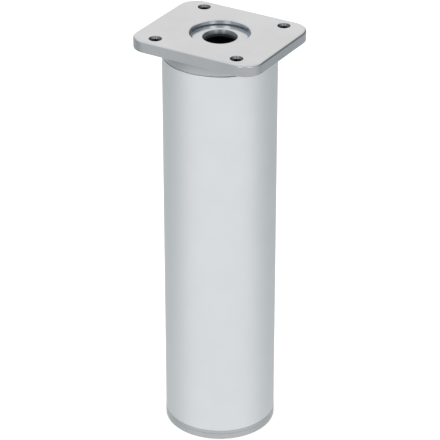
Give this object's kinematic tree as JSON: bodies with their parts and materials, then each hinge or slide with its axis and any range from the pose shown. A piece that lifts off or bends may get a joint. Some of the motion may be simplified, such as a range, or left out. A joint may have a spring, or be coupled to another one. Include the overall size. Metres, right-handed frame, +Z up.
{
  "type": "adjustable furniture leg",
  "caption": "Round aluminium furniture leg with a rectangular screw plate on top and a foot that a hex key through the plate screws out to set the height.",
  "frame": {"origin": "on the floor, on the tube's axis, under the foot screwed fully in", "axes": "+Z up along the tube to the plate, +X along the plate's long side"},
  "size_m": [0.05, 0.042, 0.1534],
  "materials": {
    "cast_head": "satin die casting",
    "anodised_tube": "matt silver anodised",
    "grey_plastic": "moulded, fine grain",
    "plated_steel": "bright zinc plated",
    "spring_steel": "oiled black"
  },
  "bodies": {
    "leg": {"mounting_plate": "cast_head", "tube": "anodised_tube", "base_plug": "grey_plastic", "spindle_nut": "plated_steel"},
    "foot": {"foot": "grey_plastic"},
    "spindle": {"spindle": "plated_steel", "thrust_washer": "plated_steel", "retaining_clip": "spring_steel"}
  },
  "joints": [
    {"name": "foot_slide", "type": "slide", "parent": "leg", "child": "foot", "axis": [0, 0, -1], "range_m": [0, 0.015]},
    {"name": "spindle_turn", "type": "hinge", "parent": "foot", "child": "spindle", "pos_m": [0, 0, 0.00725], "axis": [0, 0, -1], "range_deg": [0, 3600]}
  ],
  "couplings": [
    {"joint": "spindle_turn", "follows": "foot_slide", "rad_per_m": 4188.8}
  ]
}
